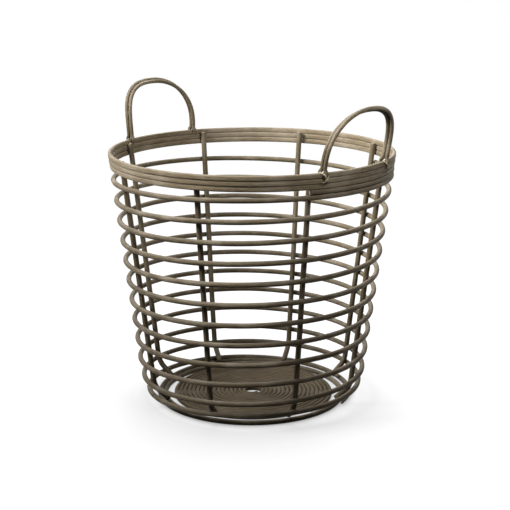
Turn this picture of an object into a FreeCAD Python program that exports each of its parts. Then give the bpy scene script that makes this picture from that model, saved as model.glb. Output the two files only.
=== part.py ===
"""Round log basket wound from cane: eight bent uprights, a spiral wall that settles on a ring of
cane on the floor, a three-strand rim, a coiled base and two looped handles lashed to the rim.

Millimetres, +Z up, origin on the floor under the centre; the handles stand on the X axis.
Canes are swept along short straight runs with an eight-sided section, flats facing their neighbours."""
import FreeCAD
import Part
import math
import os

V = FreeCAD.Vector

# ---- driving dimensions
rim_diameter = 500.0          # outside of the top rim strand
rim_height = 447.6            # floor to the top of the rim
wall_lean = 7.2               # degrees the wall leans outwards
fit_gap = 0.3                 # play between two canes that bear on each other

runs_per_turn = 24            # straight runs in one turn of the wall, so that uprights meet flats
rim_runs_per_turn = 40
disc_runs_per_turn = 20

cane_diameter = 9.0           # wall and foot cane
wall_turns = 10.25            # turns wound at the full pitch
low_wall_height = 49.25       # middle of the cane where the closer turns begin
low_turns = 1.2               # closer turns above the foot
low_wall_lean = 21.0          # degrees by which the closer turns lean outwards
foot_start_height = 19.3      # middle of the cane where it starts to settle on the foot ring
foot_dip = 2.6                # extra drop just before that
wall_below_rim = 0.9          # room between the rim and the topmost wall cane

rim_strand_height = 8.2
rim_strand_thickness = 6.6
rim_strand_edge = 2.0         # chamfer along the four edges of a rim strand
rim_strand_gap = 0.7          # room between two rim strands

stake_count = 8
stake_diameter = 9.5
stake_top_below_rim = 4.0
stake_tip_chamfer = 1.8
stake_bend = 36.0             # bend where an upright leaves the wall
stake_foot_lean = 46.0        # degrees from upright of its straight foot
stake_foot_cut = 2.4          # length by which it stops short of the ring's top

foot_ring_inset = 25.7        # inner end of the foot ring, inside the uprights' line at the floor
foot_ring_start = -97.5       # degrees round from the right handle
foot_ring_length = 510.0      # degrees wound
foot_swing = 10.7             # how far the ring's outer turn swings out at the back
foot_swing_start = 403.0      # degrees wound
foot_swing_length = 138.0

disc_gap = 5.5                # open floor between the base disc and the foot ring
disc_cane_width = 7.2
disc_cane_height = 7.4
disc_cane_shoulder = 4.4      # height of the flat flanks
disc_cane_back = 2.6          # width of the flat on the back
disc_turns = 17
disc_splices = (9, 13)        # turns, from the centre, where the next length starts

handle_cane_diameter = 6.2
handle_width = 167.0          # between the middles of the two legs, at their widest
handle_rise = 99.0            # rim to the middle of the loop's top
handle_side_power = 2.4       # roundness of the loop across, 2 is an ellipse
handle_top_power = 2.8        # roundness of the loop upwards
handle_foot_narrowing = 0.087
handle_sweep_out = 30.0       # how far the top hangs out beyond the feet
handle_outer_tail = 13.0      # how far each cane reaches down beside the rim
handle_inner_tail = 8.0
handle_closing_height = 18.0  # height above the rim over which the two canes come together
handle_runs = 20
handle_flats_turn = 10.0      # degrees by which the flats of a pair may turn against each other

peel_width = 2.2
peel_thickness = 0.4
peel_spread = 12.4            # width of the cross that a lashing makes
peel_overlap = 4.0            # how far it is turned over the top of the rim
peel_tuck = 1.0               # how far it reaches into the groove between two rim strands

# ---- values that follow
lean = math.radians(wall_lean)
slope = math.tan(lean)
half_run = math.pi / runs_per_turn
half_rim_run = math.pi / rim_runs_per_turn

rim_strand_pitch = rim_strand_height + rim_strand_gap
rim_strand_names = ("top", "middle", "bottom")
rim_underside = rim_height - len(rim_strand_names) * rim_strand_pitch + rim_strand_gap
top_strand_z = rim_height - rim_strand_height / 2
top_strand_radius = rim_diameter / 2 - rim_strand_thickness / 2 / math.cos(half_rim_run)
rim_seat = rim_strand_thickness / 2 + stake_diameter / 2 + fit_gap
rim_bearing = rim_strand_height / 2 - rim_strand_edge     # half the height of a strand's flat

stake_step = 360.0 / stake_count
first_stake = stake_step / 2          # the handles stand midway between two uprights
stake_radius_at_rim = (top_strand_radius * math.cos(half_rim_run) - rim_seat / math.cos(lean)
                       - rim_bearing * slope)
wall_seat = cane_diameter / 2 + stake_diameter / 2 + fit_gap


def stake_radius(z):
    """Distance of an upright's middle line from the axis, on the straight wall."""
    return stake_radius_at_rim - slope * (top_strand_z - z)


def polar(radius, degrees, z):
    a = math.radians(degrees)
    return V(radius * math.cos(a), radius * math.sin(a), z)


# ---- sweeping
section_sides = 8
facet = math.pi / section_sides


def reach(diameter, angle):
    """Half width of an eight-sided cane, seen at this angle from the middle of a flat."""
    return diameter / 2 * math.cos(facet - angle) / math.cos(facet)


def section_frame(points, facing, held_run):
    """Directions that span the first section, so that run number held_run has a flat on facing."""
    runs = [(b - a).normalize() for a, b in zip(points, points[1:held_run + 2])]
    across = (facing - runs[-1] * facing.dot(runs[-1])).normalize()
    for later, earlier in zip(reversed(runs), reversed(runs[:-1])):
        across = FreeCAD.Rotation(later, earlier).multVec(across)
    return across, runs[0].cross(across)


def sweep(points, outline, facing, held_run=0):
    """Solid along straight runs with mitred corners; outline lists (across, over) of the section."""
    across, over = section_frame(points, facing, held_run)
    corners = [points[0] + across * a + over * b for a, b in outline]
    pipe = Part.BRepOffsetAPI.MakePipeShell(Part.makePolygon(points))
    pipe.setTransitionMode(1)
    pipe.add(Part.makePolygon(corners + corners[:1]))
    pipe.build()
    pipe.makeSolid()
    return pipe.shape()


def cane_outline(diameter):
    corner = diameter / 2 / math.cos(facet)
    turns = [facet * (2 * i + 1) for i in range(section_sides)]
    return [(corner * math.cos(a), corner * math.sin(a)) for a in turns]


def cane(points, diameter, facing, held_run=0):
    return sweep(points, cane_outline(diameter), facing, held_run)


def cut_to_length(corners):
    """Path from the middle of the first run to the middle of the last, short by the joints' play."""
    first, last = (corners[0] + corners[1]) / 2, (corners[-2] + corners[-1]) / 2
    first += (corners[1] - corners[0]).normalize() * fit_gap / 2
    last -= (corners[-1] - corners[-2]).normalize() * fit_gap / 2
    return [first] + corners[1:-1] + [last]


# ---- uprights
# An upright runs down the wall, bends inwards and ends on top of the ring cane.
floor_cane_z = cane_diameter / 2
foot_ring_radius = stake_radius(0) - foot_ring_inset
disc_edge = foot_ring_radius - cane_diameter / 2 - disc_gap
foot_lean = math.radians(stake_foot_lean)
bend_sweep = foot_lean - lean
bend_steps = 3


def down_along(angle):
    """Direction of an upright that leans this far from straight down, in the XZ plane."""
    return V(-math.sin(angle), 0, -math.cos(angle))


def outwards(angle):
    """Direction square to that, away from the basket."""
    return V(math.cos(angle), 0, -math.sin(angle))


def foot_end():
    """Middle of an upright's lower end, which bears on the ring's second turn."""
    second_turn = V(foot_ring_radius + cane_diameter + fit_gap, 0, floor_cane_z)
    bearing = second_turn - outwards(foot_lean) * wall_seat
    return bearing - down_along(foot_lean) * stake_foot_cut


def bend_start():
    """Where the bend begins, so that it turns the wall's line into the foot's."""
    end = foot_end()
    fall = math.tan(foot_lean)
    meeting_z = (end.x - fall * end.z - stake_radius(0)) / (slope - fall)
    start_z = meeting_z + stake_bend * math.tan(bend_sweep / 2) * math.cos(lean)
    return V(stake_radius(start_z), 0, start_z)


bend_middle = bend_start() - outwards(lean) * stake_bend      # centre of the bend's arc


def stake_points():
    top_z = rim_height - stake_top_below_rim
    turns = [lean + bend_sweep * i / bend_steps for i in range(bend_steps + 1)]
    bend = [bend_middle + outwards(turn) * stake_bend for turn in turns]
    return [V(stake_radius(top_z), 0, top_z)] + bend + [foot_end()]


def make_stake():
    points = stake_points()
    stake = cane(points, stake_diameter, V(1, 0, 0))
    end = min(stake.Faces, key=lambda face: (face.CenterOfMass - points[0]).Length)
    return stake.makeChamfer(stake_tip_chamfer, end.Edges).Solids[0]


def add_stakes(nodes):
    stake = make_stake()
    for i in range(stake_count):
        turned = stake.copy()
        turned.rotate(V(0, 0, 0), V(0, 0, 1), first_stake + i * stake_step)
        nodes["stake_%d" % (i + 1)] = turned


# ---- wall and foot canes
# One winding falls clockwise, seen from above.  Angles are degrees wound from its upper end, which
# is fixed to an upright.  Every length ends in the middle of a run, where it lies on an upright.
run_angle = 360.0 / runs_per_turn
cane_end_angle = first_stake + stake_step
level_run = stake_step / 2                      # the cane runs level under the rim before it falls
full_pitch_end = level_run + 360.0 * wall_turns
foot_start = stake_step * round((full_pitch_end + 360.0 * low_turns) / stake_step)
foot_end_angle = foot_start + 5 * stake_step
dip_start = foot_start - 2 * stake_step
first_length = 6 * stake_step
cane_top_z = rim_underside - cane_diameter / 2 - wall_below_rim
winding_pitch = (cane_top_z - low_wall_height) / wall_turns
low_pitch = ((low_wall_height - foot_dip - foot_start_height)
             * 360.0 / (foot_start - full_pitch_end))
foot_pitch = (cane_diameter + fit_gap) / math.cos(half_run)
low_lean = math.radians(low_wall_lean)
outer_bend = stake_bend + wall_seat             # the wall cane's line round an upright's bend


def wall_height(wound):
    z = cane_top_z - winding_pitch * (min(wound, full_pitch_end) - min(wound, level_run)) / 360.0
    z -= low_pitch * max(wound - full_pitch_end, 0.0) / 360.0
    dip = min(max(wound - dip_start, 0.0) / (foot_start - dip_start), 1.0)
    return z - foot_dip * dip * dip


def wall_angle(z):
    """Lean of the wall at this height: it follows the uprights' bend until it leaves them."""
    turn = math.asin(min(max((bend_middle.z - z) / outer_bend, math.sin(lean)), 1.0))
    return min(turn, low_lean)


def wall_radius(z):
    """Distance from the axis of the corners of the wall cane, which lies outside the uprights."""
    turn = wall_angle(z)
    bearing = bend_middle + outwards(turn) * outer_bend
    return (bearing.x - math.tan(turn) * (bearing.z - z)) / math.cos(half_run)


def ring_corner(wound):
    """The ring on the floor opens clockwise and its outer turn swings out at the back."""
    swing = min(max((wound - foot_swing_start) / foot_swing_length, 0.0), 1.0)
    radius = (foot_ring_radius / math.cos(half_run) + foot_pitch * wound / 360.0
              + foot_swing * math.sin(math.pi * swing) ** 2)
    return polar(radius, foot_ring_start - wound, floor_cane_z)


def winding_corner(wound):
    """The wall's cane; from foot_start on it closes in and comes down beside the ring."""
    z = wall_height(min(wound, foot_start))
    radius = wall_radius(z)
    left = 1 - max(wound - foot_start, 0.0) / (foot_end_angle - foot_start)
    if left < 1:
        beside = cane_end_angle - foot_end_angle - foot_ring_start
        settled = (foot_ring_radius / math.cos(half_run) + foot_pitch * (1 - beside % 360 / 360.0))
        settled += foot_pitch
        radius = settled + (radius - settled) * (1 - (1 - max(left, 0.0)) ** 3)
        z = floor_cane_z + (z - floor_cane_z) * max(left, 0.0) ** 0.9
    return polar(radius, cane_end_angle - wound, z)


def winding(start, end, corner, tilt):
    """One length of cane, from the middle of one run to the middle of another."""
    count = int(round((end - start) / run_angle))
    points = cut_to_length([corner(start + run_angle * (i - 0.5)) for i in range(count + 2)])
    held_run = len(points) // 2 - 1
    middle = (points[held_run] + points[held_run + 1]) / 2
    outward = V(middle.x, middle.y, 0).normalize()
    facing = outward * math.cos(tilt) - V(0, 0, 1) * math.sin(tilt)
    return cane(points, cane_diameter, facing, held_run)


def add_winding(nodes):
    starts = [0.0, first_length]
    while starts[-1] + 360.0 < foot_start - 180.0:
        starts.append(starts[-1] + 360.0)
    for i, (start, end) in enumerate(zip(starts, starts[1:] + [foot_start])):
        tilt = wall_angle(wall_height((start + end) / 2))
        nodes["wall_cane_%02d" % (i + 1)] = winding(start, end, winding_corner, tilt)
    nodes["foot_cane_outer"] = winding(foot_start, foot_end_angle, winding_corner, 0.0)
    nodes["foot_cane_inner"] = winding(0.0, foot_ring_length, ring_corner, 0.0)


# ---- rim
def rim_outline():
    """Flat-oval section: tall faces with bevelled edges."""
    side, top = rim_strand_thickness / 2, rim_strand_height / 2
    quarter = [(side, top - rim_strand_edge), (side - rim_strand_edge, top)]
    mirrored = [(-a, b) for a, b in reversed(quarter)]
    return quarter + mirrored + [(-a, -b) for a, b in quarter + mirrored]


def rim_strand(radius, z):
    """Closed ring of straight runs, starting and ending in the middle of one."""
    step = 360.0 / rim_runs_per_turn
    corners = [polar(radius, step * i, z) for i in range(rim_runs_per_turn)]
    face = Part.Face(Part.makePolygon([V(radius + a, 0, z + b) for a, b in
                                       rim_outline() + rim_outline()[:1]]))
    path = Part.makePolygon(corners + corners[:1])
    pipe = Part.BRepOffsetAPI.MakePipeShell(path)
    pipe.setTransitionMode(1)
    pipe.add(face.OuterWire)
    pipe.build()
    pipe.makeSolid()
    return pipe.shape()


def add_rim(nodes):
    for i, name in enumerate(rim_strand_names):
        z = top_strand_z - i * rim_strand_pitch
        nodes["rim_strand_" + name] = rim_strand(top_strand_radius - slope * (top_strand_z - z), z)


# ---- base disc
half_disc_run = math.pi / disc_runs_per_turn
disc_pitch = (disc_cane_width + fit_gap) / math.cos(half_disc_run)


def disc_outline():
    """Flat underside and flanks, sloping shoulders and a narrow flat back."""
    half, back = disc_cane_width / 2, disc_cane_back / 2
    right = [(half, 0), (half, disc_cane_shoulder), (back, disc_cane_height)]
    return right + [(-a, b) for a, b in reversed(right)]


def disc_coil(first_turn, last_turn):
    outermost = (disc_edge - disc_cane_width / 2) / math.cos(half_disc_run)
    corners = []
    for i in range(disc_runs_per_turn * (last_turn - first_turn) + 2):
        turns = first_turn + (i - 0.5) / disc_runs_per_turn
        corners.append(polar(outermost - disc_pitch * (disc_turns - turns), -360.0 * turns, 0))
    return sweep(cut_to_length(corners), disc_outline(), V(1, 0, 0))


def add_disc(nodes):
    joints = (0,) + disc_splices + (disc_turns,)
    for name, first, last in zip(("inner", "middle", "outer"), joints, joints[1:]):
        nodes["base_coil_" + name] = disc_coil(first, last)


# ---- handles
handle_half = handle_width / 2
foot_half = handle_half * (1 - handle_foot_narrowing)
foot_angle = math.asin(foot_half / top_strand_radius)
handle_foot_x = top_strand_radius * math.cos(foot_angle)
together = reach(handle_cane_diameter, math.radians(handle_flats_turn)) + fit_gap / 2
astride = ((rim_strand_thickness / 2 + reach(handle_cane_diameter, foot_angle) + fit_gap)
           / math.cos(foot_angle))


def handle_line(u):
    """Middle of the pair of canes, for u from 0 (one foot) to 1 (the other)."""
    a = math.pi * u
    rise = handle_rise * abs(math.sin(a)) ** (2 / handle_top_power)
    share = rise / handle_rise
    across = math.copysign(abs(math.cos(a)) ** (2 / handle_side_power), math.cos(a))
    y = handle_half * across * (1 - handle_foot_narrowing * (1 - share))
    x = handle_foot_x + handle_sweep_out * share * (1.25 * share - 0.25)
    return V(x, y, rim_height + rise)


def evenly_spaced(line, count):
    """Points at equal distances along line(u), for u from 0 to 1."""
    fine = [line(i / 400.0) for i in range(401)]
    lengths = [0.0]
    for a, b in zip(fine, fine[1:]):
        lengths.append(lengths[-1] + (b - a).Length)
    points, at = [], 0
    for i in range(count + 1):
        wanted = lengths[-1] * i / count
        while at < len(fine) - 2 and lengths[at + 1] < wanted:
            at += 1
        share = (wanted - lengths[at]) / (lengths[at + 1] - lengths[at])
        points.append(fine[at] + (fine[at + 1] - fine[at]) * share)
    return points


def handle_cane(side, tail):
    """One cane of the pair; side is +1 outside the rim and -1 inside it."""
    middle = evenly_spaced(handle_line, handle_runs)
    points = []
    for i, point in enumerate(middle):
        before, after = middle[max(i - 1, 0)], middle[min(i + 1, handle_runs)]
        along = (after - before).normalize()
        outward = (V(1, 0, 0) - along * along.x).normalize()
        share = min((point.z - rim_height) / handle_closing_height, 1.0)
        ease = share * share * (3 - 2 * share)
        offset = astride + (together - astride) * ease
        points.append(point + outward * offset * side)
    down = V(0, 0, -tail)
    points = [points[0] + down] + points + [points[-1] + down]
    return cane(points, handle_cane_diameter, V(1, 0, 0), held_run=len(points) // 2 - 1)


def add_handles(nodes):
    for name, side, tail in (("outer", 1, handle_outer_tail), ("inner", -1, handle_inner_tail)):
        right = handle_cane(side, tail)
        left = right.copy()
        left.rotate(V(0, 0, 0), V(0, 0, 1), 180)
        nodes["handle_right_%s_cane" % name] = right
        nodes["handle_left_%s_cane" % name] = left


# ---- lashings
def rim_face_x(y, strand):
    """X of the outer face of the rim at this y; strands are counted from the top."""
    radius = rim_diameter / 2 - slope * rim_strand_pitch * strand
    return math.sqrt(radius * radius - y * y)


def peel_strip(hand):
    """Strip laid slantwise over a handle's foot, from a groove of the rim to its top edge."""
    bottom_z = rim_underside + rim_strand_height + rim_strand_gap / 2
    top_z = rim_height + peel_width / 2
    height = top_z - bottom_z
    clear = peel_thickness / 2 + fit_gap
    slant = math.atan(peel_spread / height)
    sideways = peel_width / 2 * math.cos(slant)
    cane_x = handle_foot_x + astride
    corner = handle_cane_diameter / 2 / math.cos(facet)
    crown, crown_x = corner * math.sin(facet) + sideways, cane_x + corner + clear
    flank, flank_x = corner + sideways + clear, cane_x + corner * math.sin(facet)
    half = peel_spread / 2

    def at(y, x):
        return V(x, foot_half + hand * y, bottom_z + height * (y + half) / peel_spread)

    def on_rim(y, strand, out):
        return at(y, rim_face_x(foot_half + hand * y, strand) + out)

    points = [on_rim(-half, 1, -peel_tuck), on_rim(-half * 0.85, 1, clear)]
    points += [at(-flank, flank_x), at(-crown, crown_x), at(crown, crown_x), at(flank, flank_x)]
    points += [on_rim(half * 0.86, 0, clear), on_rim(half, 0, -rim_strand_edge)]
    points.append(points[-1] - V(peel_overlap - rim_strand_edge, 0, 0))
    a, b = peel_width / 2, peel_thickness / 2
    outline = [(b, -a), (b, a), (-b, a), (-b, -a)]
    return sweep(points, outline, V(1, 0, 0), held_run=3)


def add_lashings(nodes):
    right_back = peel_strip(1).fuse(peel_strip(-1)).removeSplitter().Solids[0]
    right_front = right_back.mirror(V(0, 0, 0), V(0, 1, 0))
    for end, lashing in (("front", right_front), ("back", right_back)):
        nodes["lashing_right_" + end] = lashing
        nodes["lashing_left_" + end] = lashing.mirror(V(0, 0, 0), V(1, 0, 0))


# ---- build
def main():
    os.makedirs("parts", exist_ok=True)
    nodes = {}
    add_stakes(nodes)
    add_winding(nodes)
    add_rim(nodes)
    add_disc(nodes)
    add_handles(nodes)
    add_lashings(nodes)
    for name, shape in nodes.items():
        shape.exportStep("parts/%s.step" % name)
        box = shape.BoundBox
        print("%-24s %s valid=%s volume=%.0f  x %.1f..%.1f  y %.1f..%.1f  z %.1f..%.1f" % (
            name, shape.ShapeType, shape.isValid(), shape.Volume,
            box.XMin, box.XMax, box.YMin, box.YMax, box.ZMin, box.ZMax))


main()
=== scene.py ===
import math
import bpy
import numpy as np
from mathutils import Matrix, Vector


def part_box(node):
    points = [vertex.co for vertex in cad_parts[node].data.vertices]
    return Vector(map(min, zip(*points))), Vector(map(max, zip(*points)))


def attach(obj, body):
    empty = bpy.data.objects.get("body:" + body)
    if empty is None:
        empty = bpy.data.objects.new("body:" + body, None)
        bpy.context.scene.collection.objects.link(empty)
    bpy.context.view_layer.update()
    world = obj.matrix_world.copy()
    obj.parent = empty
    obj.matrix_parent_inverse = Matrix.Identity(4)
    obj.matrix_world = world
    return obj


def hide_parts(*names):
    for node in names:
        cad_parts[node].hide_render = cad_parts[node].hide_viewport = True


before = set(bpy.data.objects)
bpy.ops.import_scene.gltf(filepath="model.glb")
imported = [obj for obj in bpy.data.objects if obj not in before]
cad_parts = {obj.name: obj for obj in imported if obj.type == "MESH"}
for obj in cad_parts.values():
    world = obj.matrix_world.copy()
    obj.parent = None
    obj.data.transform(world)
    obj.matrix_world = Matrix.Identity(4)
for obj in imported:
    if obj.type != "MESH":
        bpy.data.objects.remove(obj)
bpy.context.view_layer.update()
root = "root"


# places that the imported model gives

wallNodes = sorted(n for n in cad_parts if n.startswith("wall_cane_"))
stakeNodes = sorted(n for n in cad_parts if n.startswith("stake_"))
rimNodes = ["rim_strand_top", "rim_strand_middle", "rim_strand_bottom"]
discNodes = ["base_coil_inner", "base_coil_middle", "base_coil_outer"]

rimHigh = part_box("rim_strand_top")[1]
rimRadius, rimHeight = rimHigh.x, rimHigh.z
upperTurn, lowerTurn = 1, 9   # two whole turns of the wall, one high and one low
upperWall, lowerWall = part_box(wallNodes[upperTurn])[1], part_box(wallNodes[lowerTurn])[1]
windingPitch = (upperWall.z - lowerWall.z) / (lowerTurn - upperTurn)
wallSlope = (upperWall.x - lowerWall.x) / (upperWall.z - lowerWall.z)
halfRun = 7.5   # degrees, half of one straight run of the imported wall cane
fullTurn = 360.0


# bent canes

waves = {"count": 4, "lengths": (0.6, 1.9), "strengths": (0.5, 1.0), "level": 2.6}


def smoothNoise(seed, positions, wavelength):  # about -1 to 1, slow and repeatable
    rng = np.random.default_rng(seed)
    total = np.zeros(len(positions))
    for _ in range(waves["count"]):
        w = wavelength * rng.uniform(*waves["lengths"])
        total += rng.uniform(*waves["strengths"]) * np.sin(2 * math.pi * (positions / w + rng.random()))
    return total / waves["level"]


def between(low, high, x):  # 0 to 1, eased at both ends
    share = np.clip((x - low) / (high - low), 0, 1)
    return share * share * (3 - 2 * share)


def lengthsAlong(points):
    steps = np.linalg.norm(np.diff(points, axis=0), axis=1)
    return np.concatenate([[0.0], np.cumsum(steps)])


def evenPoints(points, spacing):  # the same line with points at equal distances
    s = lengthsAlong(points)
    count = max(int(round(s[-1] / spacing)), 2)
    wanted = np.linspace(0, s[-1], count + 1)
    return np.stack([np.interp(wanted, s, points[:, k]) for k in range(3)], 1)


def unit(v):
    tiny = 1e-12   # so that nothing is divided by zero
    return v / np.maximum(np.linalg.norm(v, axis=-1, keepdims=True), tiny)


def radialOut(points):
    flat = points.copy()
    flat[:, 2] = 0
    return unit(flat)


def aroundAxis(radius, a, z):  # points at these radii, angles and heights
    return np.stack([radius * np.cos(a), radius * np.sin(a), z], 1)


def roundSection(radius, sides):
    a = 2 * math.pi * np.arange(sides) / sides
    return np.stack([radius * np.cos(a), radius * np.sin(a)], 1)


def flatOval(width, height, sides, power):  # width along the first direction, height along the second
    a = 2 * math.pi * np.arange(sides) / sides
    c, s = np.cos(a), np.sin(a)
    x = np.sign(c) * np.abs(c) ** (2 / power) * width / 2
    y = np.sign(s) * np.abs(s) ** (2 / power) * height / 2
    return np.stack([x, y], 1)


def sweptPoints(points, facing, section, size, closed):  # the section carried square along the line
    if closed:
        tangents = unit(np.roll(points, -1, 0) - np.roll(points, 1, 0))
    else:
        tangents = unit(np.gradient(points, axis=0))
    across = unit(facing - tangents * np.sum(facing * tangents, 1, keepdims=True))
    over = np.cross(tangents, across)
    rings = (points[:, None, :] + across[:, None, :] * (section[None, :, 0, None] * size[:, None, None])
             + over[:, None, :] * (section[None, :, 1, None] * size[:, None, None]))
    return rings.reshape(-1, 3)


def sideFaces(rows, n, m):  # four corners each, from one ring of m points to the next
    i = np.arange(rows)[:, None]
    j = np.arange(m)[None, :]
    near, far, beside = i * m, ((i + 1) % n) * m, (j + 1) % m
    return np.stack([near + j, near + beside, far + beside, far + j], -1).reshape(-1, 4).tolist()


grain = {"shift": 0.37, "span": 7.0, "endScale": 40}   # each cane has its own stretch of the grain


def lengthwiseUv(points, section, caps, seed, rows):  # once round the cane, and metres along it
    m = len(section)
    s = lengthsAlong(points)
    if not caps:
        s = np.append(s, s[-1] + np.linalg.norm(points[0] - points[-1]))
    offset = (seed * grain["shift"]) % grain["span"]
    j = np.arange(m)[None, :]
    ones = np.ones((rows, m))
    u0, u1 = ones * (j / m), ones * ((j + 1) / m)
    v0, v1 = ones * (s[:rows, None] + offset), ones * (s[1:rows + 1, None] + offset)
    uv = np.stack([np.stack([u0, v0], -1), np.stack([u1, v0], -1),
                   np.stack([u1, v1], -1), np.stack([u0, v1], -1)], 2).reshape(-1, 2)
    for cap in caps:
        flat = section[np.array(cap) % m] * grain["endScale"] + np.array([0.5, offset])
        uv = np.vstack([uv, flat])
    return uv


def caneMesh(name, points, facing, section, material, seed, stands, closed=False, scale=None):
    n, m = len(points), len(section)
    rows = n if closed else n - 1
    size = np.ones(n) if scale is None else scale
    faces = sideFaces(rows, n, m)
    caps = [] if closed else [list(range(m))[::-1], [(n - 1) * m + k for k in range(m)]]
    mesh = bpy.data.meshes.new(name)
    mesh.from_pydata(sweptPoints(points, facing, section, size, closed).tolist(), [], faces + caps)
    mesh.materials.append(material)
    layer = mesh.uv_layers.new(name="lengthwise")
    layer.data.foreach_set("uv", lengthwiseUv(points, section, caps, seed, rows).ravel())
    mesh.polygons.foreach_set("use_smooth", [True] * len(faces) + [False] * len(caps))
    if caps:
        mesh.materials.append(cutEnd)
        for k in range(len(caps)):
            mesh.polygons[len(faces) + k].material_index = 1
    mesh.update()
    piece = bpy.data.objects.new(name, mesh)
    bpy.context.scene.collection.objects.link(piece)
    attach(piece, root)
    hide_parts(*stands)


# shader helpers

def newGroup(name, inputs, outputs):
    group = bpy.data.node_groups.new(name, "ShaderNodeTree")
    for label, kind, value in inputs:
        socket = group.interface.new_socket(label, in_out="INPUT", socket_type=kind)
        if value is not None:
            socket.default_value = value
    for label, kind in outputs:
        group.interface.new_socket(label, in_out="OUTPUT", socket_type=kind)
    return group, group.nodes.new("NodeGroupInput"), group.nodes.new("NodeGroupOutput")


def newMaterial(name):
    material = bpy.data.materials.new(name)
    material.use_nodes = True
    return material, material.node_tree


def addNode(tree, kind, settings=None, **values):
    node = tree.nodes.new(kind)
    for key, value in (settings or {}).items():
        setattr(node, key, value)
    for key, value in values.items():
        node.inputs[key].default_value = value
    return node


def feed(tree, socket, value):  # a plain number is set, anything else is linked
    if isinstance(value, (int, float)):
        socket.default_value = value
    else:
        tree.links.new(value, socket)


def mathNode(tree, operation, first, second=None):
    node = addNode(tree, "ShaderNodeMath", {"operation": operation})
    feed(tree, node.inputs[0], first)
    if second is not None:
        feed(tree, node.inputs[1], second)
    return node.outputs[0]


def joinXyz(tree, x, y, z):
    node = tree.nodes.new("ShaderNodeCombineXYZ")
    for k, value in enumerate((x, y, z)):
        feed(tree, node.inputs[k], value)
    return node.outputs[0]


def noiseMask(tree, vector, scale, detail, rough):
    node = addNode(tree, "ShaderNodeTexNoise", Scale=scale, Detail=detail, Roughness=rough)
    tree.links.new(vector, node.inputs["Vector"])
    return node.outputs[0]


def rangeNode(tree, value, low, high, toLow=0.0, toHigh=1.0):
    node = tree.nodes.new("ShaderNodeMapRange")
    tree.links.new(value, node.inputs[0])
    for k, number in enumerate((low, high, toLow, toHigh)):
        node.inputs[k + 1].default_value = number
    return node.outputs[0]


def rampNode(tree, share, first, last, middle=None):
    ramp = tree.nodes.new("ShaderNodeValToRGB")
    ramp.color_ramp.elements[0].color = (*first, 1)
    ramp.color_ramp.elements[1].color = (*last, 1)
    if middle is not None:
        ramp.color_ramp.elements.new(0.5).color = (*middle, 1)
    tree.links.new(share, ramp.inputs[0])
    return ramp.outputs[0]


def mixColours(tree, share, first, second):  # a colour that goes from the first to the second
    node = addNode(tree, "ShaderNodeMix", {"data_type": "RGBA"})
    tree.links.new(share, node.inputs["Factor"])
    sockets = [socket for socket in node.inputs if socket.type == "RGBA"]
    for socket, colour in zip(sockets, (first, second)):
        if isinstance(colour, tuple):
            socket.default_value = (*colour, 1)
        else:
            tree.links.new(colour, socket)
    return next(socket for socket in node.outputs if socket.type == "RGBA")


def addBump(tree, shader, height, strength, depth):
    bump = addNode(tree, "ShaderNodeBump", Strength=strength, Distance=depth)
    tree.links.new(height, bump.inputs["Height"])
    tree.links.new(bump.outputs[0], shader.inputs["Normal"])


# stained cane

fibreLook = {   # stretch round and along the cane, the noise, and the values that become 0 and 1
    "streaks": dict(across=1.0, along=9.0, scale=6.0, detail=3.0, rough=0.62, low=0.32, high=0.70),
    "patches": dict(across=0.30, along=7.0, scale=1.6, detail=3.0, rough=0.55, low=0.30, high=0.72),
    "pores": dict(across=1.6, along=12.0, scale=5.0, detail=2.0, rough=0.5, low=0.62, high=0.74),
    "poreDent": 0.6}   # depth of a pore against the height of a streak


def fibreGroup():  # lengthwise fibres: fine streaks, slow patches and dark pores
    group, start, end = newGroup("lengthwiseFibres", [
        ("Along and round", "NodeSocketVector", None),
        ("Streak count", "NodeSocketFloat", 1.0)], [
        ("Streaks", "NodeSocketFloat"), ("Patches", "NodeSocketFloat"),
        ("Pores", "NodeSocketFloat"), ("Height", "NodeSocketFloat")])
    split = group.nodes.new("ShaderNodeSeparateXYZ")
    group.links.new(start.outputs[0], split.inputs[0])
    turn = mathNode(group, "MULTIPLY", split.outputs[0], 2 * math.pi)
    side = mathNode(group, "MULTIPLY", mathNode(group, "COSINE", turn), start.outputs[1])
    front = mathNode(group, "MULTIPLY", mathNode(group, "SINE", turn), start.outputs[1])

    def mask(across, along, scale, detail, rough, low, high):
        place = joinXyz(group, mathNode(group, "MULTIPLY", side, across),
                        mathNode(group, "MULTIPLY", front, across),
                        mathNode(group, "MULTIPLY", split.outputs[1], along))
        return rangeNode(group, noiseMask(group, place, scale, detail, rough), low, high)

    streaks, patches, pores = [mask(**fibreLook[key]) for key in ("streaks", "patches", "pores")]
    dents = mathNode(group, "MULTIPLY", pores, fibreLook["poreDent"])
    height = mathNode(group, "SUBTRACT", streaks, dents)
    for k, value in enumerate((streaks, patches, pores, height)):
        group.links.new(value, end.inputs[k])
    return group


wearAndHighlightLook = {"cloudScale": 22.0, "cloudDetail": 2.0, "cloudRough": 0.5, "rubbedFrom": 0.50,
            "rubbedFull": 0.72, "dustAndHighlightFrom": 0.35, "dustAndHighlightShare": 0.35}


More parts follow.
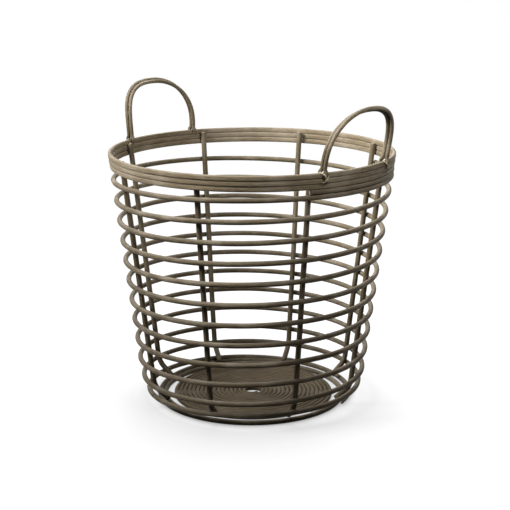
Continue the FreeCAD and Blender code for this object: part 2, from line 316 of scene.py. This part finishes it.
def wearAndHighlightGroup():  # stain rubbed paler in places, and a pale colour on what faces up that is partly dust and partly a painted highlight
    group, start, end = newGroup("rubbedStainAndHighlight", [
        ("Colour", "NodeSocketColor", None), ("Rubbed colour", "NodeSocketColor", None),
        ("Dust and highlight colour", "NodeSocketColor", None), ("Amount", "NodeSocketFloat", 0.5)], [
        ("Colour", "NodeSocketColor")])
    colour, rubbedColour, dustAndHighlightColour, amount = [start.outputs[k] for k in range(4)]
    place = group.nodes.new("ShaderNodeTexCoord")
    cloud = noiseMask(group, place.outputs["Object"], wearAndHighlightLook["cloudScale"], wearAndHighlightLook["cloudDetail"],
                      wearAndHighlightLook["cloudRough"])
    rubbed = mathNode(group, "MULTIPLY",
                      rangeNode(group, cloud, wearAndHighlightLook["rubbedFrom"], wearAndHighlightLook["rubbedFull"]), amount)
    geometry = group.nodes.new("ShaderNodeNewGeometry")
    split = group.nodes.new("ShaderNodeSeparateXYZ")
    group.links.new(geometry.outputs["Normal"], split.inputs[0])
    # what faces up turns paler: settled dust, and also a painted highlight
    upward = rangeNode(group, split.outputs[2], wearAndHighlightLook["dustAndHighlightFrom"], 1.0, 0.0, wearAndHighlightLook["dustAndHighlightShare"])
    stained = mixColours(group, rubbed, colour, rubbedColour)
    withDustAndHighlight = mixColours(group, mathNode(group, "MULTIPLY", upward, amount), stained, dustAndHighlightColour)
    group.links.new(withDustAndHighlight, end.inputs[0])
    return group


fibres, rubbedStainAndHighlight = fibreGroup(), wearAndHighlightGroup()


def caneMaterial(name, look):
    material, tree = newMaterial(name)
    shader = tree.nodes["Principled BSDF"]
    uv = addNode(tree, "ShaderNodeUVMap", {"uv_map": "lengthwise"})
    fibre = addNode(tree, "ShaderNodeGroup", {"node_tree": fibres})
    tree.links.new(uv.outputs[0], fibre.inputs[0])
    fibre.inputs[1].default_value = look["streakCount"]
    streaks, patches, pores, height = [fibre.outputs[k] for k in range(4)]
    blend = mathNode(tree, "ADD", mathNode(tree, "MULTIPLY", streaks, look["streakShare"]),
                     mathNode(tree, "MULTIPLY", patches, 1 - look["streakShare"]))
    stain = rampNode(tree, blend, look["dark"], look["light"], look["middle"])
    poreShare = mathNode(tree, "MULTIPLY", pores, look["poreDepth"])
    wornAndHighlit = addNode(tree, "ShaderNodeGroup", {"node_tree": rubbedStainAndHighlight})
    tree.links.new(mixColours(tree, poreShare, stain, look["pore"]), wornAndHighlit.inputs[0])
    wornAndHighlit.inputs[1].default_value = (*look["rubbed"], 1)
    wornAndHighlit.inputs[2].default_value = (*look["dustAndHighlight"], 1)
    wornAndHighlit.inputs[3].default_value = look["wearAndHighlight"]
    tree.links.new(wornAndHighlit.outputs[0], shader.inputs["Base Color"])
    tree.links.new(rangeNode(tree, streaks, 0, 1, *look["roughness"]), shader.inputs["Roughness"])
    addBump(tree, shader, height, look["bump"], look["bumpDepth"])
    shader.inputs["Specular IOR Level"].default_value = look["gloss"]
    return material


# the pale colour on what faces up is partly dust and partly a painted highlight
caneLook = {
    "dark": (0.055, 0.042, 0.025), "middle": (0.112, 0.088, 0.054), "light": (0.196, 0.160, 0.113),
    "pore": (0.024, 0.015, 0.007), "poreDepth": 0.7, "rubbed": (0.30, 0.255, 0.195),
    "dustAndHighlight": (0.42, 0.385, 0.335), "wearAndHighlight": 0.40, "streakCount": 1.0, "streakShare": 0.55,
    "roughness": (0.52, 0.38), "bump": 0.55, "bumpDepth": 0.0004, "gloss": 0.05}

wallCane = caneMaterial("stainedWallCane", caneLook)
stakeCane = caneMaterial("stainedUprightCane", dict(caneLook, streakShare=0.65, wearAndHighlight=0.25))
rimCane = caneMaterial("stainedRimCane", dict(
    caneLook, streakCount=1.8, streakShare=0.7, wearAndHighlight=0.45,
    dark=(0.084, 0.064, 0.038), middle=(0.160, 0.126, 0.079), light=(0.265, 0.218, 0.158)))
# the same stain made darker: the extra darkness is painted shade for the basket's shaded bottom
shadedBaseCane = caneMaterial("baseCaneWithPaintedShade", dict(
    caneLook, streakCount=1.1, wearAndHighlight=0.15,
    dark=(0.047, 0.033, 0.017), middle=(0.088, 0.064, 0.035), light=(0.135, 0.102, 0.062)))
handleCane = caneMaterial("stainedHandleCane", dict(caneLook, streakCount=0.8, wearAndHighlight=0.5))
lashingPeel = caneMaterial("stainedPeel", dict(
    caneLook, streakCount=0.7, wearAndHighlight=0.6,
    dark=(0.20, 0.155, 0.10), middle=(0.34, 0.28, 0.20), light=(0.46, 0.39, 0.29)))

cutLook = {"tubeScale": 1800.0, "tubeCentre": 0.05, "tubeEdge": 0.6, "hollow": (0.07, 0.052, 0.036),
           "wood": (0.30, 0.255, 0.195), "bump": 0.6, "bumpDepth": 0.0003, "roughness": 0.85}


def cutEndMaterial():  # the open tubes that a cut across the cane shows
    material, tree = newMaterial("cutCaneEnd")
    shader = tree.nodes["Principled BSDF"]
    place = tree.nodes.new("ShaderNodeTexCoord")
    tubes = addNode(tree, "ShaderNodeTexVoronoi", Scale=cutLook["tubeScale"])
    tree.links.new(place.outputs["Object"], tubes.inputs["Vector"])
    share = rangeNode(tree, tubes.outputs["Distance"], cutLook["tubeCentre"], cutLook["tubeEdge"])
    colour = rampNode(tree, share, cutLook["hollow"], cutLook["wood"])
    tree.links.new(colour, shader.inputs["Base Color"])
    addBump(tree, shader, tubes.outputs["Distance"], cutLook["bump"], cutLook["bumpDepth"])
    shader.inputs["Roughness"].default_value = cutLook["roughness"]
    return material


cutEnd = cutEndMaterial()
print("stage: finishes ready")


# uprights

stake = {"diameter": 0.0095, "bend": 0.036, "footLean": 46.0, "first": 22.5, "step": 45.0,
         "tipRounding": 0.0022, "tipReach": 0.86, "tipPoints": 6, "waviness": 0.0003, "waveLength": 0.20,
         "waveSeed": 40, "unevenness": 0.012, "unevenLength": 0.05, "unevenSeed": 60, "arcPoints": 24,
         "spacing": 0.004, "sides": 20, "endDepth": 0.0002}
wallLean = math.atan(wallSlope * math.cos(math.radians(halfRun)))
footLean = math.radians(stake["footLean"])


def outwards(angle):  # square to an upright that leans this far from straight down, as (radius, height)
    return np.array([np.cos(angle), -np.sin(angle)])


def downAlong(angle):
    return np.array([-np.sin(angle), -np.cos(angle)])


def endMiddle(node, degrees, way):  # middle of an upright's end, as (radius, height)
    a = math.radians(degrees)
    corners = np.array([(v.co.x * math.cos(a) + v.co.y * math.sin(a), v.co.z)
                        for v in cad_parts[node].data.vertices])
    reach = corners @ way
    return corners[reach > reach.max() - stake["endDepth"]].mean(axis=0)


stakeTop = endMiddle(stakeNodes[0], stake["first"], -downAlong(wallLean))
stakeFoot = endMiddle(stakeNodes[0], stake["first"], downAlong(footLean))


def bendCentre():  # centre of the arc that turns the wall's line into the foot's
    sides = np.stack([downAlong(wallLean), downAlong(footLean)], 1)
    run = np.linalg.solve(sides, stakeFoot - stakeTop)[0]
    start = run - stake["bend"] * math.tan((footLean - wallLean) / 2)
    return stakeTop + downAlong(wallLean) * start - outwards(wallLean) * stake["bend"]


bendMiddle = bendCentre()


def stakeLine(a):
    turns = np.linspace(wallLean, footLean, stake["arcPoints"])
    arc = [bendMiddle + outwards(turn) * stake["bend"] for turn in turns]
    profile = np.array([stakeTop] + arc + [stakeFoot])
    flat = evenPoints(np.stack([profile[:, 0], 0 * profile[:, 0], profile[:, 1]], 1), stake["spacing"])
    line = aroundAxis(flat[:, 0], a, flat[:, 2])
    top = np.linspace(line[0], line[1], stake["tipPoints"] + 1)[:-1]   # more points for the rounded tip
    return np.vstack([top, line[1:]])


def tipScale(s):  # closes the first end in a dome
    x = np.clip(1 - s / stake["tipRounding"], 0, 1)
    return np.sqrt(np.clip(1 - (x * stake["tipReach"]) ** 2, 0, 1))


def addUpright(k, node):
    a = math.radians(stake["first"] + k * stake["step"])
    line = stakeLine(a)
    s = lengthsAlong(line)
    sideways = np.array([-math.sin(a), math.cos(a), 0])
    bow = stake["waviness"] * smoothNoise(stake["waveSeed"] + k, s, stake["waveLength"])
    uneven = stake["unevenness"] * smoothNoise(stake["unevenSeed"] + k, s, stake["unevenLength"])
    line = line + sideways * bow[:, None]
    scale = tipScale(lengthsAlong(line)) * (1 + uneven)
    section = roundSection(stake["diameter"] / 2, stake["sides"])
    caneMesh("upright_%d" % (k + 1), line, radialOut(line), section, stakeCane,
             seed=3 + k, stands=[node], scale=scale)


for k, node in enumerate(stakeNodes):
    addUpright(k, node)
print("stage: uprights")


# wall and foot winding, with places in degrees wound from the top

winding = {
    "diameter": 0.009, "play": 0.0003, "sides": 20, "pointStep": 3.0, "endPlay": 0.03,
    "topAngle": 67.5, "levelRun": 22.5, "turns": 10.25, "firstLength": 270.0,
    "firstDrop": 0.0082, "firstFall": 0.000045, "firstFallStart": 88.0, "firstEnd": 180,
    "lowPitch": 0.02303, "lowLean": 21.0, "dip": 0.0026, "dipStart": 4050.0,
    "wallEnd": 4140.0, "footEnd": 4365.0, "settle": 1.6, "thinRun": 24.0, "thinFoot": 0.5,
    "drawnIn": 0.0017, "drawnLeft": (3700, 3800, 3810, 3900), "drawnLow": (3990, 4080, 4290, 4360),
    "sag": 0.0005, "sagLength": 200.0, "sagSeed": 500, "bulge": 0.0003, "bulgeLength": 170.0,
    "bulgeSeed": 501, "floorShare": 0.2,
    "thickness": 0.986, "unevenness": 0.012, "unevenLength": 0.11, "unevenSeed": 9}
footRing = {"gapToDisc": 0.0055, "start": -97.5, "length": 510.0, "pitch": 0.0093, "besideEnd": 1.667,
            "swing": 0.0107, "swingStart": 403.0, "swingLength": 138.0}
caneRadius = winding["diameter"] / 2
outerBend = stake["bend"] + stake["diameter"] / 2 + caneRadius + winding["play"]
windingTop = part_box(wallNodes[0])[1].z - caneRadius
fullPitchEnd = winding["levelRun"] + fullTurn * winding["turns"]
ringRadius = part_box("base_coil_outer")[1].x + footRing["gapToDisc"] + caneRadius


def wallHeight(wound):
    z = windingTop - windingPitch * (np.minimum(wound, fullPitchEnd)
                                     - np.minimum(wound, winding["levelRun"])) / fullTurn
    z = z - winding["lowPitch"] * np.maximum(wound - fullPitchEnd, 0) / fullTurn
    fallen = np.maximum(wound - winding["firstFallStart"], 0)
    first = windingTop - winding["firstDrop"] - winding["firstFall"] * fallen   # the first turn is lower
    z = np.where(wound < winding["firstEnd"], np.minimum(z, first), z)
    dip = np.clip((wound - winding["dipStart"]) / (winding["wallEnd"] - winding["dipStart"]), 0, 1)
    return z - winding["dip"] * dip ** 2


def wallRadius(z):  # outside the uprights, and round their bend until the cane leaves them
    turn = np.arcsin(np.clip((bendMiddle[1] - z) / outerBend, math.sin(wallLean), 1))
    turn = np.minimum(turn, math.radians(winding["lowLean"]))
    radius = bendMiddle[0] + np.cos(turn) * outerBend
    height = bendMiddle[1] - np.sin(turn) * outerBend
    return radius - np.tan(turn) * (height - z)


def drawnIn(wound):  # the low turns are pulled in a little on the left and in front
    def share(start, full, ease, end):
        return between(start, full, wound) * between(end, ease, wound)

    return winding["drawnIn"] * np.maximum(share(*winding["drawnLeft"]), share(*winding["drawnLow"]))


def wallLine(wound):  # down the wall, then out over the floor and round outside the foot ring
    left = np.clip((winding["footEnd"] - wound) / (winding["footEnd"] - winding["wallEnd"]), 0, 1)
    z = wallHeight(np.minimum(wound, winding["wallEnd"]))
    beside = ringRadius + footRing["pitch"] * footRing["besideEnd"]
    radius = beside + (wallRadius(z) - beside) * (1 - (1 - left) ** 3)
    z = caneRadius + (z - caneRadius) * left ** winding["settle"]
    # free between two uprights, and less so where it lies on the floor
    free = np.sin(math.pi * wound / stake["step"]) ** 2 * between(winding["floorShare"], 1.0, left)
    z = z + winding["sag"] * free * smoothNoise(winding["sagSeed"], wound, winding["sagLength"])
    bulge = winding["bulge"] * free * smoothNoise(winding["bulgeSeed"], wound, winding["bulgeLength"])
    return aroundAxis(radius - drawnIn(wound) + bulge, np.radians(winding["topAngle"] - wound), z)


def ringLine(wound):  # the foot ring, flat on the floor under the ends of the uprights
    swing = np.clip((wound - footRing["swingStart"]) / footRing["swingLength"], 0, 1)
    radius = (ringRadius + footRing["pitch"] * wound / fullTurn
              + footRing["swing"] * np.sin(math.pi * swing) ** 2)
    return aroundAxis(radius, np.radians(footRing["start"] - wound), np.full(len(wound), caneRadius))


def addWinding(name, node, line, scale, seed):
    section = roundSection(caneRadius, winding["sides"])
    caneMesh(name, line, radialOut(line), section, wallCane, seed, stands=[node], scale=scale)


def addLength(name, node, lineAt, start, end, seed, thinEnd=1.0):
    count = int((end - start) / winding["pointStep"]) + 1
    wound = np.linspace(start + winding["endPlay"], end - winding["endPlay"], count)
    line = lineAt(wound)
    uneven = smoothNoise(seed + winding["unevenSeed"], lengthsAlong(line), winding["unevenLength"])
    thin = 1 - (1 - thinEnd) * between(end - winding["thinRun"], end, wound)
    addWinding(name, node, line, (winding["thickness"] + winding["unevenness"] * uneven) * thin, seed)


closing = {"start": -22.5, "underlap": 0.6, "end": 44.0, "taperStart": 22.0, "thinEnd": 0.35,
           "play": 0.0002, "outwards": 0.6, "thickness": 0.985, "points": 90}


def addClosingLength(seed):  # fills the wedge between the first turn and the rim, shaved thin at one end
    degrees = np.linspace(closing["start"] - closing["underlap"], closing["end"], closing["points"])
    thin = 1 - (1 - closing["thinEnd"]) * between(closing["taperStart"], closing["end"], degrees)
    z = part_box("rim_strand_bottom")[0].z - closing["play"] - caneRadius * thin
    radius = wallRadius(z) + caneRadius * (1 - thin) * closing["outwards"]
    line = aroundAxis(radius, np.radians(degrees), z)
    addWinding("closing_length", wallNodes[0], line, closing["thickness"] * thin, seed)


starts = [0.0] + [winding["firstLength"] + fullTurn * k for k in range(len(wallNodes) - 1)]
ends = starts[1:] + [winding["wallEnd"]]
for k, node in enumerate(wallNodes):
    addLength("wall_length_%02d" % (k + 1), node, wallLine, starts[k], ends[k], seed=100 + 7 * k)
addClosingLength(seed=191)
addLength("foot_length_outer", "foot_cane_outer", wallLine, winding["wallEnd"], winding["footEnd"],
          seed=211, thinEnd=winding["thinFoot"])
addLength("foot_length_inner", "foot_cane_inner", ringLine, 0.0, footRing["length"], seed=223)
print("stage: winding")


# rim

rim = {"thickness": 0.0066, "overlap": 0.0009, "squareness": 3.2, "play": 0.0003,
       "unevenness": 0.00025, "bends": range(3, 12), "phases": 6.28, "inMost": -1, "outMost": 0.8,
       "segments": 240, "sides": 28}


def addRimStrand(node, seed):
    low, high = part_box(node)
    a = 2 * math.pi * np.arange(rim["segments"]) / rim["segments"]
    wander = np.zeros(len(a))
    rng = np.random.default_rng(seed)
    for k in rim["bends"]:
        wander += rng.normal() / k * np.cos(k * a + rng.uniform(0, rim["phases"]))
    wander = rim["unevenness"] * np.clip(wander, rim["inMost"], rim["outMost"])
    radius = high.x - rim["thickness"] / 2 - rim["play"] + wander
    line = aroundAxis(radius, a, np.full(len(a), (low.z + high.z) / 2))
    height = high.z - low.z + rim["overlap"]
    section = flatOval(rim["thickness"], height, rim["sides"], rim["squareness"])
    caneMesh("rim_" + node.split("_")[-1], line, radialOut(line), section, rimCane, seed,
             stands=[node], closed=True)


for k, node in enumerate(rimNodes):
    addRimStrand(node, seed=300 + k)
print("stage: rim")


# coiled base

disc = {"width": 0.0073, "gap": 0.0003, "edgePlay": 0.0002, "squareness": 2.5, "turns": 17,
        "splices": (9, 13), "splicePlay": 0.002, "looseBy": 0.0038, "looseAt": 134.7, "looseFrom": 12.5,
        "looseSpread": 0.8, "turnPoints": 72, "sides": 16}


def addCoil(node, first, last, seed):
    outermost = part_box("base_coil_outer")[1].x - disc["edgePlay"] - disc["width"] / 2
    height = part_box(node)[1].z
    turns = np.linspace(first, last, int((last - first) * disc["turnPoints"]) + 1)
    a = -2 * math.pi * turns
    # the outer turns lie looser at the back
    behind = np.clip(np.cos(a - math.radians(disc["looseAt"])), 0, 1) ** disc["looseSpread"]
    radius = (outermost - (disc["width"] + disc["gap"]) * (disc["turns"] - turns)
              + disc["looseBy"] * behind * between(disc["looseFrom"], disc["turns"], turns))
    line = aroundAxis(radius, a, np.full(len(a), height / 2))
    section = flatOval(disc["width"], height, disc["sides"], disc["squareness"])
    caneMesh("coil_" + node.split("_")[-1], line, radialOut(line), section, shadedBaseCane, seed,
             stands=[node])


coilEnds = (0,) + disc["splices"] + (disc["turns"],)
for k, node in enumerate(discNodes):
    addCoil(node, coilEnds[k] + disc["splicePlay"], coilEnds[k + 1] - disc["splicePlay"], seed=400 + k)
print("stage: base")


# handles

handle = {
    "diameter": 0.0069, "width": 0.1664, "narrowing": 0.087, "sweepOut": 0.0292, "closing": 0.006,
    "outerTail": 0.013, "innerTail": 0.008, "tailPoints": 8, "tailStart": 0.05, "shavedEnd": 0.5,
    "turnLow": 8.0, "turnTop": 26.0, "rimPlay": 0.0004, "pairPlay": 0.0001, "thickness": 0.992,
    "unevenness": 0.008, "unevenLength": 0.09, "arcPoints": 600, "spacing": 0.003, "sides": 18,
    # roundness of the two shoulders, across and upwards, and how straight it sweeps out
    "right": {"firstShoulder": (2.4, 2.8), "secondShoulder": (2.15, 2.4), "bow": 0.55},
    "left": {"firstShoulder": (2.4, 2.8), "secondShoulder": (2.4, 2.8), "bow": 1.2}}

topStrand = rimRadius - rim["thickness"] / 2
footHalf = handle["width"] / 2 * (1 - handle["narrowing"])
footX = math.sqrt(topStrand ** 2 - footHalf ** 2)
# half the distance between the canes of a pair, at the foot with the rim between them, and above it
astride = (rim["thickness"] / 2 + handle["diameter"] / 2 + handle["rimPlay"]) * topStrand / footX
handleNear = handle["diameter"] / 2 + handle["pairPlay"]


def handleLine(bend, side):  # side is 1 for the outer cane, the larger loop, and -1 for the inner
    rise = (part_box("handle_right_outer_cane")[1].z - handle["diameter"] / 2 - rimHeight
            - handleNear * math.sin(math.radians(handle["turnTop"])))
    u = np.linspace(0, math.pi, handle["arcPoints"])
    first = (u < math.pi / 2)[:, None]
    powers = np.where(first, bend["firstShoulder"], bend["secondShoulder"])
    share = np.abs(np.sin(u)) ** (2 / powers[:, 1])
    acrossShare = np.sign(np.cos(u)) * np.abs(np.cos(u)) ** (2 / powers[:, 0])
    y = handle["width"] / 2 * acrossShare * (1 - handle["narrowing"] * (1 - share))
    x = footX + handle["sweepOut"] * share * (bend["bow"] * share + 1 - bend["bow"])
    middle = evenPoints(np.stack([x, y, rimHeight + rise * share], 1), handle["spacing"])
    along = unit(np.gradient(middle, axis=0))
    outward = unit(np.array([1.0, 0, 0]) - along * along[:, :1])
    upward = np.cross(along, outward)
    height = (middle[:, 2] - rimHeight) / rise
    ease = between(0, handle["closing"] / rise, height)
    turn = np.radians(handle["turnLow"] + (handle["turnTop"] - handle["turnLow"]) * height ** 2) * ease
    apart = (astride + (handleNear - astride) * ease) * side
    return middle + outward * (apart * np.cos(turn))[:, None] + upward * (apart * np.sin(turn))[:, None]


def withTails(line, tail, side):  # shaved flat against the rim, outside and inside
    depth = np.linspace(1, handle["tailStart"], handle["tailPoints"])
    thin = 1 - (1 - handle["shavedEnd"]) * depth
    down = np.stack([-side * handle["diameter"] / 2 * (1 - thin), 0 * depth, -tail * depth], 1)
    scale = np.concatenate([thin, np.ones(len(line)), thin[::-1]])
    return np.vstack([line[0] + down, line, (line[-1] + down)[::-1]]), scale


def addHandleCane(hand, which, side, seed):
    outward = 1.0 if hand == "right" else -1.0
    line, scale = withTails(handleLine(handle[hand], side), handle[which + "Tail"], side)
    line = line * np.array([outward, outward, 1])
    facing = np.tile([outward, 0, 0], (len(line), 1))
    uneven = smoothNoise(seed, lengthsAlong(line), handle["unevenLength"])
    scale = scale * (handle["thickness"] + handle["unevenness"] * uneven)
    section = roundSection(handle["diameter"] / 2, handle["sides"])
    caneMesh("handle_%s_%s" % (hand, which), line, facing, section, handleCane, seed,
             stands=["handle_%s_%s_cane" % (hand, which)], scale=scale)


for k, hand in enumerate(("right", "left")):
    addHandleCane(hand, "outer", 1, seed=510 + 20 * k)
    addHandleCane(hand, "inner", -1, seed=515 + 20 * k)
print("stage: handles")


# lashings, with places as shares of the spread or of the handle cane's radius

lashing = {"width": 0.0025, "thickness": 0.0008, "spread": 0.0124, "overlap": 0.004, "tuck": 0.001,
           "topTuck": 0.0018, "lift": 0.0006, "play": 0.0002, "rimShare": 0.86, "flankAt": 1.25,
           "flankHeight": 0.4, "crownAt": 0.65, "tailShare": 0.7, "squareness": 3.2, "sides": 12,
           "cornerCuts": 3}


def roundedCorners(points, times):  # cuts every corner of a line back, so that it bends smoothly
    for _ in range(times):
        a, b = points[:-1], points[1:]
        cut = np.stack([a * 0.75 + b * 0.25, a * 0.25 + b * 0.75], 1).reshape(-1, 3)
        points = np.vstack([points[:1], cut[1:-1], points[-1:]])
    return points


def stripLine(lean, lift):  # laid slantwise over a handle's foot, lean is 1 or -1
    bottom = (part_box("rim_strand_middle")[0].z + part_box("rim_strand_bottom")[1].z) / 2
    height = rimHeight + lashing["width"] / 2 - bottom
    clear = lashing["thickness"] / 2 + lashing["play"]
    radius = handle["diameter"] / 2
    half = lashing["spread"] / 2
    nearRim = half * lashing["rimShare"]
    flankY, crownY = radius * lashing["flankAt"], radius * lashing["crownAt"]

    def at(y, x):
        return [x, footHalf + lean * y, bottom + height * (y + half) / lashing["spread"]]

    def onRim(y, reach, out):
        return at(y, math.sqrt(reach ** 2 - (footHalf + lean * y) ** 2) + out)

    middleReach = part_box("rim_strand_middle")[1].x
    # the handle cane is shaved thinner under the cross
    shaved = handle["diameter"] * (1 - handle["shavedEnd"]) * lashing["tailShare"]
    crown = footX + astride + radius - shaved + clear + lift
    flank = footX + astride + radius * lashing["flankHeight"] - shaved
    points = [onRim(-half, middleReach, -lashing["tuck"]), onRim(-nearRim, middleReach, clear),
              at(-flankY, flank), at(-crownY, crown), at(crownY, crown), at(flankY, flank),
              onRim(nearRim, rimRadius, clear), onRim(half, rimRadius, -lashing["topTuck"])]
    inside = points[-1][0] - lashing["overlap"] + lashing["topTuck"]
    points.append([inside, points[-1][1], points[-1][2]])
    slant = unit(np.array([0, lean * lashing["spread"], height]))
    return roundedCorners(np.array(points), lashing["cornerCuts"]), np.cross([1.0, 0, 0], slant)


def addLashing(hand, end, seed):
    mirror = np.array([1 if hand == "right" else -1, 1 if end == "back" else -1, 1])
    section = flatOval(lashing["thickness"], lashing["width"], lashing["sides"], lashing["squareness"])
    for k, (lean, lift) in enumerate(((1, 0.0), (-1, lashing["lift"]))):
        line, sideways = stripLine(lean, lift)
        line, sideways = line * mirror, sideways * mirror
        facing = np.cross(unit(np.gradient(line, axis=0)), sideways)
        caneMesh("lashing_%s_%s_%d" % (hand, end, k + 1), line, facing, section, lashingPeel,
                 seed + k, stands=["lashing_%s_%s" % (hand, end)])


handleFeet = (("right", "front"), ("right", "back"), ("left", "front"), ("left", "back"))
for k, (hand, end) in enumerate(handleFeet):
    addLashing(hand, end, seed=610 + 5 * k)
print("stage: lashings")


# studio

studio = {"cameraAzimuth": 44.7, "distance": 2.4471, "height": 0.8692, "tilt": 14.014, "turn": 0.12,
          "lens": 100.46824, "sensor": 36.0, "clipEnd": 50.0}
softboxes = {   # bearing is measured from the camera's right hand, anticlockwise from above
    "leftKey": dict(bearing=198, elevation=27, distance=1.5, width=0.8, height=0.8, power=14.5, aim=0.82,
                    spread=60),
    "frontFill": dict(bearing=302, elevation=22, distance=0.95, width=0.4, height=0.3, power=2.4,
                      aim=0.7, spread=76),
    "backTop": dict(bearing=104, elevation=60, distance=1.15, width=0.7, height=0.7, power=10, aim=0.46,
                    spread=180)}
# whiteNear, the reaches, shadeAhead, shadeBearing and contactShade set a painted shadow on the floor,
# not one cast by the lamps
backdrop = {"ambient": 0.02, "bounce": 0.04, "shadowDepth": 0.16, "whiteNear": 0.79, "whiteFar": 1.0,
            "shadeBearing": 270, "shadeAhead": 0.12, "nearReach": 0.1, "farReach": 0.33,
            "contactReach": 0.16, "contactShade": 0.5, "half": 7.0, "drop": 0.0002}


def addCamera():
    data = bpy.data.cameras.new("camera")
    data.sensor_width = studio["sensor"]
    data.lens = studio["lens"]
    data.clip_end = studio["clipEnd"]
    camera = bpy.data.objects.new("camera", data)
    bpy.context.scene.collection.objects.link(camera)
    a = math.radians(studio["cameraAzimuth"])
    reach = studio["distance"]
    camera.location = (reach * math.sin(a), -reach * math.cos(a), studio["height"])
    camera.rotation_euler = (math.radians(90 - studio["tilt"]), 0,
                             math.radians(studio["cameraAzimuth"] - studio["turn"]))
    bpy.context.scene.camera = camera


def addSoftbox(name, bearing, elevation, distance, width, height, power, aim, spread):
    a = math.radians(bearing + studio["cameraAzimuth"])
    e = math.radians(elevation)
    way = Vector((math.cos(e) * math.cos(a), math.cos(e) * math.sin(a), math.sin(e)))
    data = bpy.data.lights.new(name, "AREA")
    data.shape = "RECTANGLE"
    data.size = width
    data.size_y = height
    data.energy = power
    data.spread = math.radians(spread)
    lamp = bpy.data.objects.new(name, data)
    bpy.context.scene.collection.objects.link(lamp)
    lamp.location = Vector((0, 0, aim)) + way * distance
    lamp.rotation_euler = (-way).to_track_quat("-Z", "Y").to_euler()


def seenDirectly(tree):  # 1 where the camera, a reflection or a transmission looks
    path = tree.nodes.new("ShaderNodeLightPath")
    seen = mathNode(tree, "MAXIMUM", path.outputs["Is Camera Ray"], path.outputs["Is Glossy Ray"])
    return mathNode(tree, "MAXIMUM", seen, path.outputs["Is Transmission Ray"])


def mixShaders(tree, share, first, second, output):
    mix = tree.nodes.new("ShaderNodeMixShader")
    for k, socket in enumerate((share, first.outputs[0], second.outputs[0])):
        tree.links.new(socket, mix.inputs[k])
    tree.links.new(mix.outputs[0], output.inputs[0])


def addWorld():
    world = bpy.data.worlds.new("world")
    bpy.context.scene.world = world
    world.use_nodes = True
    tree = world.node_tree
    tree.nodes.clear()
    dim = addNode(tree, "ShaderNodeBackground", Color=(1, 1, 1, 1), Strength=backdrop["ambient"])
    white = addNode(tree, "ShaderNodeBackground", Color=(1, 1, 1, 1), Strength=1.0)
    mixShaders(tree, seenDirectly(tree), dim, white, tree.nodes.new("ShaderNodeOutputWorld"))


def floorMaterial():  # white to the camera, with a soft painted shadow under and before the basket over the weak shadow that the lamps cast
    material, tree = newMaterial("whiteFloor")
    tree.nodes.clear()
    bounce, dimmed = backdrop["bounce"], backdrop["shadowDepth"]
    plain = addNode(tree, "ShaderNodeBsdfDiffuse", Color=(bounce, bounce, bounce, 1))
    shaded = addNode(tree, "ShaderNodeBsdfDiffuse", Color=(dimmed, dimmed, dimmed, 1))
    bearing = math.radians(backdrop["shadeBearing"] + studio["cameraAzimuth"])
    place = tree.nodes.new("ShaderNodeTexCoord")
    away = addNode(tree, "ShaderNodeVectorMath", {"operation": "DISTANCE"})
    away.inputs[1].default_value = (backdrop["shadeAhead"] * math.cos(bearing),
                                    backdrop["shadeAhead"] * math.sin(bearing), 0)
    tree.links.new(place.outputs["Object"], away.inputs[0])
    # painted shadow: the floor's glow is dimmer nearer a point in front of the basket
    paintedShadowLevel = rangeNode(tree, away.outputs["Value"], backdrop["nearReach"], backdrop["farReach"],
                    backdrop["whiteNear"], backdrop["whiteFar"])
    # painted contact shadow from ambient occlusion
    contact = addNode(tree, "ShaderNodeAmbientOcclusion", Distance=backdrop["contactReach"])
    shade = rangeNode(tree, contact.outputs["AO"], 0.0, 1.0, 1 - backdrop["contactShade"], 1.0)
    glow = addNode(tree, "ShaderNodeEmission", Color=(1, 1, 1, 1))
    tree.links.new(mathNode(tree, "MULTIPLY", paintedShadowLevel, shade), glow.inputs["Strength"])
    white = tree.nodes.new("ShaderNodeAddShader")
    tree.links.new(shaded.outputs[0], white.inputs[0])
    tree.links.new(glow.outputs[0], white.inputs[1])
    mixShaders(tree, seenDirectly(tree), plain, white, tree.nodes.new("ShaderNodeOutputMaterial"))
    return material


def addFloor():
    half = backdrop["half"]
    corners = [(-half, -half, 0), (half, -half, 0), (half, half, 0), (-half, half, 0)]
    mesh = bpy.data.meshes.new("floor")
    mesh.from_pydata(corners, [], [(0, 1, 2, 3)])
    mesh.materials.append(floorMaterial())
    floor = bpy.data.objects.new("floor", mesh)
    bpy.context.scene.collection.objects.link(floor)
    floor.location.z = -backdrop["drop"]


addCamera()
for name, values in softboxes.items():
    addSoftbox(name, **values)
addWorld()
addFloor()
bpy.context.scene.view_settings.view_transform = "Standard"
print("stage: studio")

bpy.context.view_layer.update()
